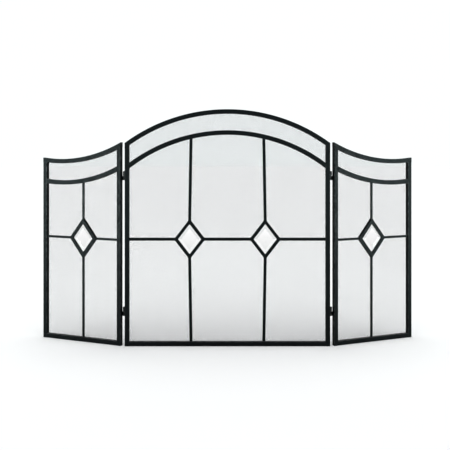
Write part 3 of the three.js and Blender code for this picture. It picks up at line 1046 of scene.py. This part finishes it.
def build_centre():
    axes = panel_axes("centre_panel", "centre_left_post", "centre_right_post")
    outer = rail_arc(axes, "centre_outer_arch_rail")
    inner = rail_arc(axes, "centre_inner_arch_rail")
    curved_tube(axes, "centre_outer_arch_rail", outer, welded_ends=False)
    curved_tube(axes, "centre_inner_arch_rail", inner, welded_ends=True)
    bottom_rail(axes, "centre_bottom_rail")
    diamonds = {}
    for hand, side in (("left", -1), ("right", 1)):
        name = f"centre_{hand}"
        diamond = Diamond(axes, f"{name}_diamond_frame")
        diamonds[hand] = diamond
        tube_post(axes, f"{name}_post", outer)
        foot_plug(axes, f"{name}_foot_plug")
        diamond_strip(axes, f"{name}_diamond_frame", diamond)
        glass_pane(axes, f"{name}_glass_diamond", diamond)
        upright_bar(axes, f"{name}_lower_bar", square_end(TUBE), diamond.below())
        head = bar_ends(axes, f"{name}_upper_bar")[1]
        upright_bar(axes, f"{name}_upper_bar", diamond.above(), under_arc(inner, head.middle))
        level = axes.span(f"{name}_level_bar")
        post_end = square_end(level[0].x if side < 0 else level[1].x)
        ends = (post_end, diamond.beside(-1)) if side < 0 else (diamond.beside(1), post_end)
        level_bar(axes, f"{name}_level_bar", *ends)
    middle_ends = diamonds["left"].beside(1), diamonds["right"].beside(-1)
    level_bar(axes, "centre_middle_level_bar", *middle_ends)
    width = axes.span("centre_right_post")[1].x
    wire_mesh(axes, "centre_mesh", width, outer, list(diamonds.values()))
    return axes


def under_arc(arc, x):
    """The end of an upright bar at x that meets a curved rail from below."""
    seat = arc.below(TUBE)
    return (lambda offset: seat.height(x + offset)), ROOT_GAP


# ---- The wings -------------------------------------------------------------------------------


def build_wing(hand):
    name = f"{hand}_wing"
    axes = panel_axes(name, f"{name}_inner_post", f"{name}_outer_post")
    upper = rail_arc(axes, f"{name}_upper_rail")
    lower = rail_arc(axes, f"{name}_lower_rail")
    curved_tube(axes, f"{name}_upper_rail", upper, welded_ends=False)
    curved_tube(axes, f"{name}_lower_rail", lower, welded_ends=True)
    bottom_rail(axes, f"{name}_bottom_rail")
    for end in ("inner", "outer"):
        tube_post(axes, f"{name}_{end}_post", upper)
        foot_plug(axes, f"{name}_{end}_foot_plug")
    diamond = Diamond(axes, f"{name}_diamond_frame")
    diamond_strip(axes, f"{name}_diamond_frame", diamond)
    glass_pane(axes, f"{name}_glass_diamond", diamond)
    upright_bar(axes, f"{name}_lower_bar", square_end(TUBE), diamond.below())
    upright_bar(axes, f"{name}_upper_bar", diamond.above(), under_arc(lower, diamond.x))
    inner_bar = axes.span(f"{name}_inner_level_bar")
    outer_bar = axes.span(f"{name}_outer_level_bar")
    level_bar(axes, f"{name}_inner_level_bar", square_end(inner_bar[0].x), diamond.beside(-1))
    level_bar(axes, f"{name}_outer_level_bar", diamond.beside(1), square_end(outer_bar[1].x))
    width = axes.span(f"{name}_outer_post")[1].x
    wire_mesh(axes, f"{name}_mesh", width, upper, [diamond])
    return axes


def build_hinges(hand, centre, wing):
    towards_centre = 1 if hand == "left" else -1
    for level in ("lower", "upper"):
        name = f"{hand}_{level}_hinge"
        knuckle(centre, f"{name}_centre_knuckle", f"{name}_pin", towards_centre)
        knuckle(wing, f"{name}_wing_knuckle", f"{name}_pin", 1)
        hinge_pin(wing, f"{name}_pin")


# ---- The studio ------------------------------------------------------------------------------

CAMERA_DISTANCE = 2.446  # from the centre panel's front face
CAMERA_HEIGHT = 0.651
CAMERA_LENS = 58.6  # millimetres, on the sensor below
CAMERA_SENSOR = 36
CAMERA_SHIFT = (-0.0054, -0.1636)
FLOOR_SIZE = 60.0
SKY_LOW = (1.0, 1.035, 1.04)  # radiance round the horizon, a cool white
SKY_HIGH = (0.3, 0.31, 0.315)
SKY_TURNS = (14, 42)  # the sky dims between these heights, in degrees
KEY_HEIGHT = 80  # degrees above the horizon, in front of the screen
KEY_SPREAD = 85  # width of the key light, in degrees
KEY_STRENGTH = 1.83
BOX_COLOUR = (0.86, 1.0, 0.98)
BOX_SPREAD = 34  # degrees
BOX_SIZE = (1.4, 0.3)
BOX_POWER = 16  # watts
BOX_PLACE = (2.6, -2.1, 0.2)  # the right-hand softbox; the left-hand one mirrors it
BOX_AIM = (1.2, 0, 0.6)
FLOOR_SHADES = (0.99, 0.988, 0.989), (1.0, 0.996, 0.997)
TONE_GAMMA = 0.85  # a little of a camera's contrast


def build_camera():
    camera = bpy.data.cameras.new("camera")
    camera.lens = CAMERA_LENS
    camera.sensor_width = CAMERA_SENSOR
    camera.shift_x, camera.shift_y = CAMERA_SHIFT
    camera.clip_end = 2 * FLOOR_SIZE
    holder = bpy.data.objects.new("camera", camera)
    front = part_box("centre_left_post")[0].y
    holder.location = (0, front - CAMERA_DISTANCE, CAMERA_HEIGHT)
    holder.rotation_euler = (math.pi / 2, 0, 0)
    bpy.context.scene.collection.objects.link(holder)
    bpy.context.scene.camera = holder


def softbox(side):
    """A gridded softbox, whose narrow beam keeps off the far side of the screen."""
    name = f"side_softbox_{side}"
    place, aim = (Vector((side * x, y, z)) for x, y, z in (BOX_PLACE, BOX_AIM))
    light = bpy.data.lights.new(name, "AREA")
    light.color = BOX_COLOUR
    light.spread = math.radians(BOX_SPREAD)
    light.shape = "RECTANGLE"
    light.size, light.size_y = BOX_SIZE
    light.energy = BOX_POWER
    holder = bpy.data.objects.new(name, light)
    holder.location = place
    holder.rotation_euler = (aim - place).to_track_quat("-Z", "Y").to_euler()
    holder.visible_camera = False
    bpy.context.scene.collection.objects.link(holder)


def build_sky():
    """White round the horizon and dimmer overhead, so that edges don't wash out."""
    world = bpy.data.worlds.new("white_studio")
    world.use_nodes = True
    tree = world.node_tree
    place = tree.nodes.new("ShaderNodeTexCoord").outputs["Generated"]
    split = tree.nodes.new("ShaderNodeSeparateXYZ")
    tree.links.new(place, split.inputs["Vector"])
    height = tree.nodes.new("ShaderNodeMapRange")
    height.interpolation_type = "SMOOTHSTEP"
    for name, turn in zip(("From Min", "From Max"), SKY_TURNS):
        height.inputs[name].default_value = math.sin(math.radians(turn))
    tree.links.new(split.outputs["Z"], height.inputs["Value"])
    mix = tree.nodes.new("ShaderNodeMix")
    mix.data_type = "RGBA"
    mix.inputs[MIX_A].default_value = (*SKY_LOW, 1)
    mix.inputs[MIX_B].default_value = (*SKY_HIGH, 1)
    tree.links.new(height.outputs["Result"], mix.inputs["Factor"])
    tree.links.new(mix.outputs[MIX_RESULT], tree.nodes["Background"].inputs["Color"])
    bpy.context.scene.world = world


def build_key():
    """A broad key light from above and in front, as even as daylight."""
    light = bpy.data.lights.new("key", "SUN")
    light.energy = KEY_STRENGTH
    light.angle = math.radians(KEY_SPREAD)
    holder = bpy.data.objects.new("key", light)
    holder.rotation_euler = (math.radians(90 - KEY_HEIGHT), 0, 0)
    bpy.context.scene.collection.objects.link(holder)


def build_floor():
    finish = Finish("pale_floor")
    colour = finish.blend(finish.noise(0.5, 3), *FLOOR_SHADES)
    finish.link(colour, finish.shader.inputs["Base Color"])
    finish.number("Roughness", 0.9)
    finish.number("Specular IOR Level", 0.0)
    shape = new_shape()
    half = FLOOR_SIZE / 2
    corners = ((-half, -half), (half, -half), (half, half), (-half, half))
    shape.faces.new([shape.verts.new((x, y, 0)) for x, y in corners])
    mesh = bpy.data.meshes.new("floor")
    shape.to_mesh(mesh)
    shape.free()
    mesh.materials.append(finish.material)
    floor = bpy.data.objects.new("floor", mesh)
    bpy.context.scene.collection.objects.link(floor)


def build_studio():
    build_sky()
    build_key()
    build_floor()
    for side in (-1, 1):
        softbox(side)
    bpy.context.scene.view_settings.view_transform = "Standard"
    bpy.context.scene.view_settings.gamma = TONE_GAMMA


build_camera()
build_studio()
centre_axes = build_centre()
for wing_hand in ("left", "right"):
    wing_axes = build_wing(wing_hand)
    build_hinges(wing_hand, centre_axes, wing_axes)
